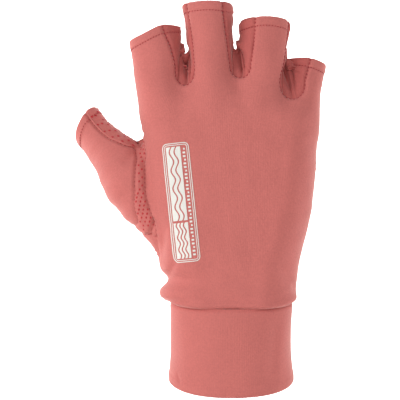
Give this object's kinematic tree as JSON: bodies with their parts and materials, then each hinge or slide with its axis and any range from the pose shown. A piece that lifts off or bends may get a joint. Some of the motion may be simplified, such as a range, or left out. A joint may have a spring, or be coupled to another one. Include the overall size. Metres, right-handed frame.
{
  "type": "fingerless fishing glove",
  "caption": "Stretch-knit fingerless sport glove in its worn form, with open finger stubs and thumb, gusset strips between the fingers, a long rib-free cuff and a pale film print.",
  "frame": {"origin": "middle of the cuff's mouth, where the hand goes in", "axes": "+Z from the cuff's mouth along the hand towards the fingers, -Y out of the back of the hand, -X towards the thumb"},
  "size_m": [0.127, 0.0523, 0.198],
  "materials": {
    "knit": "smooth coral stretch knit",
    "grip_knit": "coral stretch knit with small raised red grip dots",
    "cuff_knit": "doubled coral stretch knit",
    "print_film": "matt off-white transfer film"
  },
  "bodies": {
    "root": {"back_panel": "knit", "palm_panel": "grip_knit", "thumb_back_panel": "knit", "thumb_palm_panel": "grip_knit", "fourchette_index_middle": "knit", "fourchette_middle_ring": "knit", "fourchette_ring_little": "knit", "cuff": "cuff_knit", "transfer_print": "print_film"}
  },
  "joints": []
}
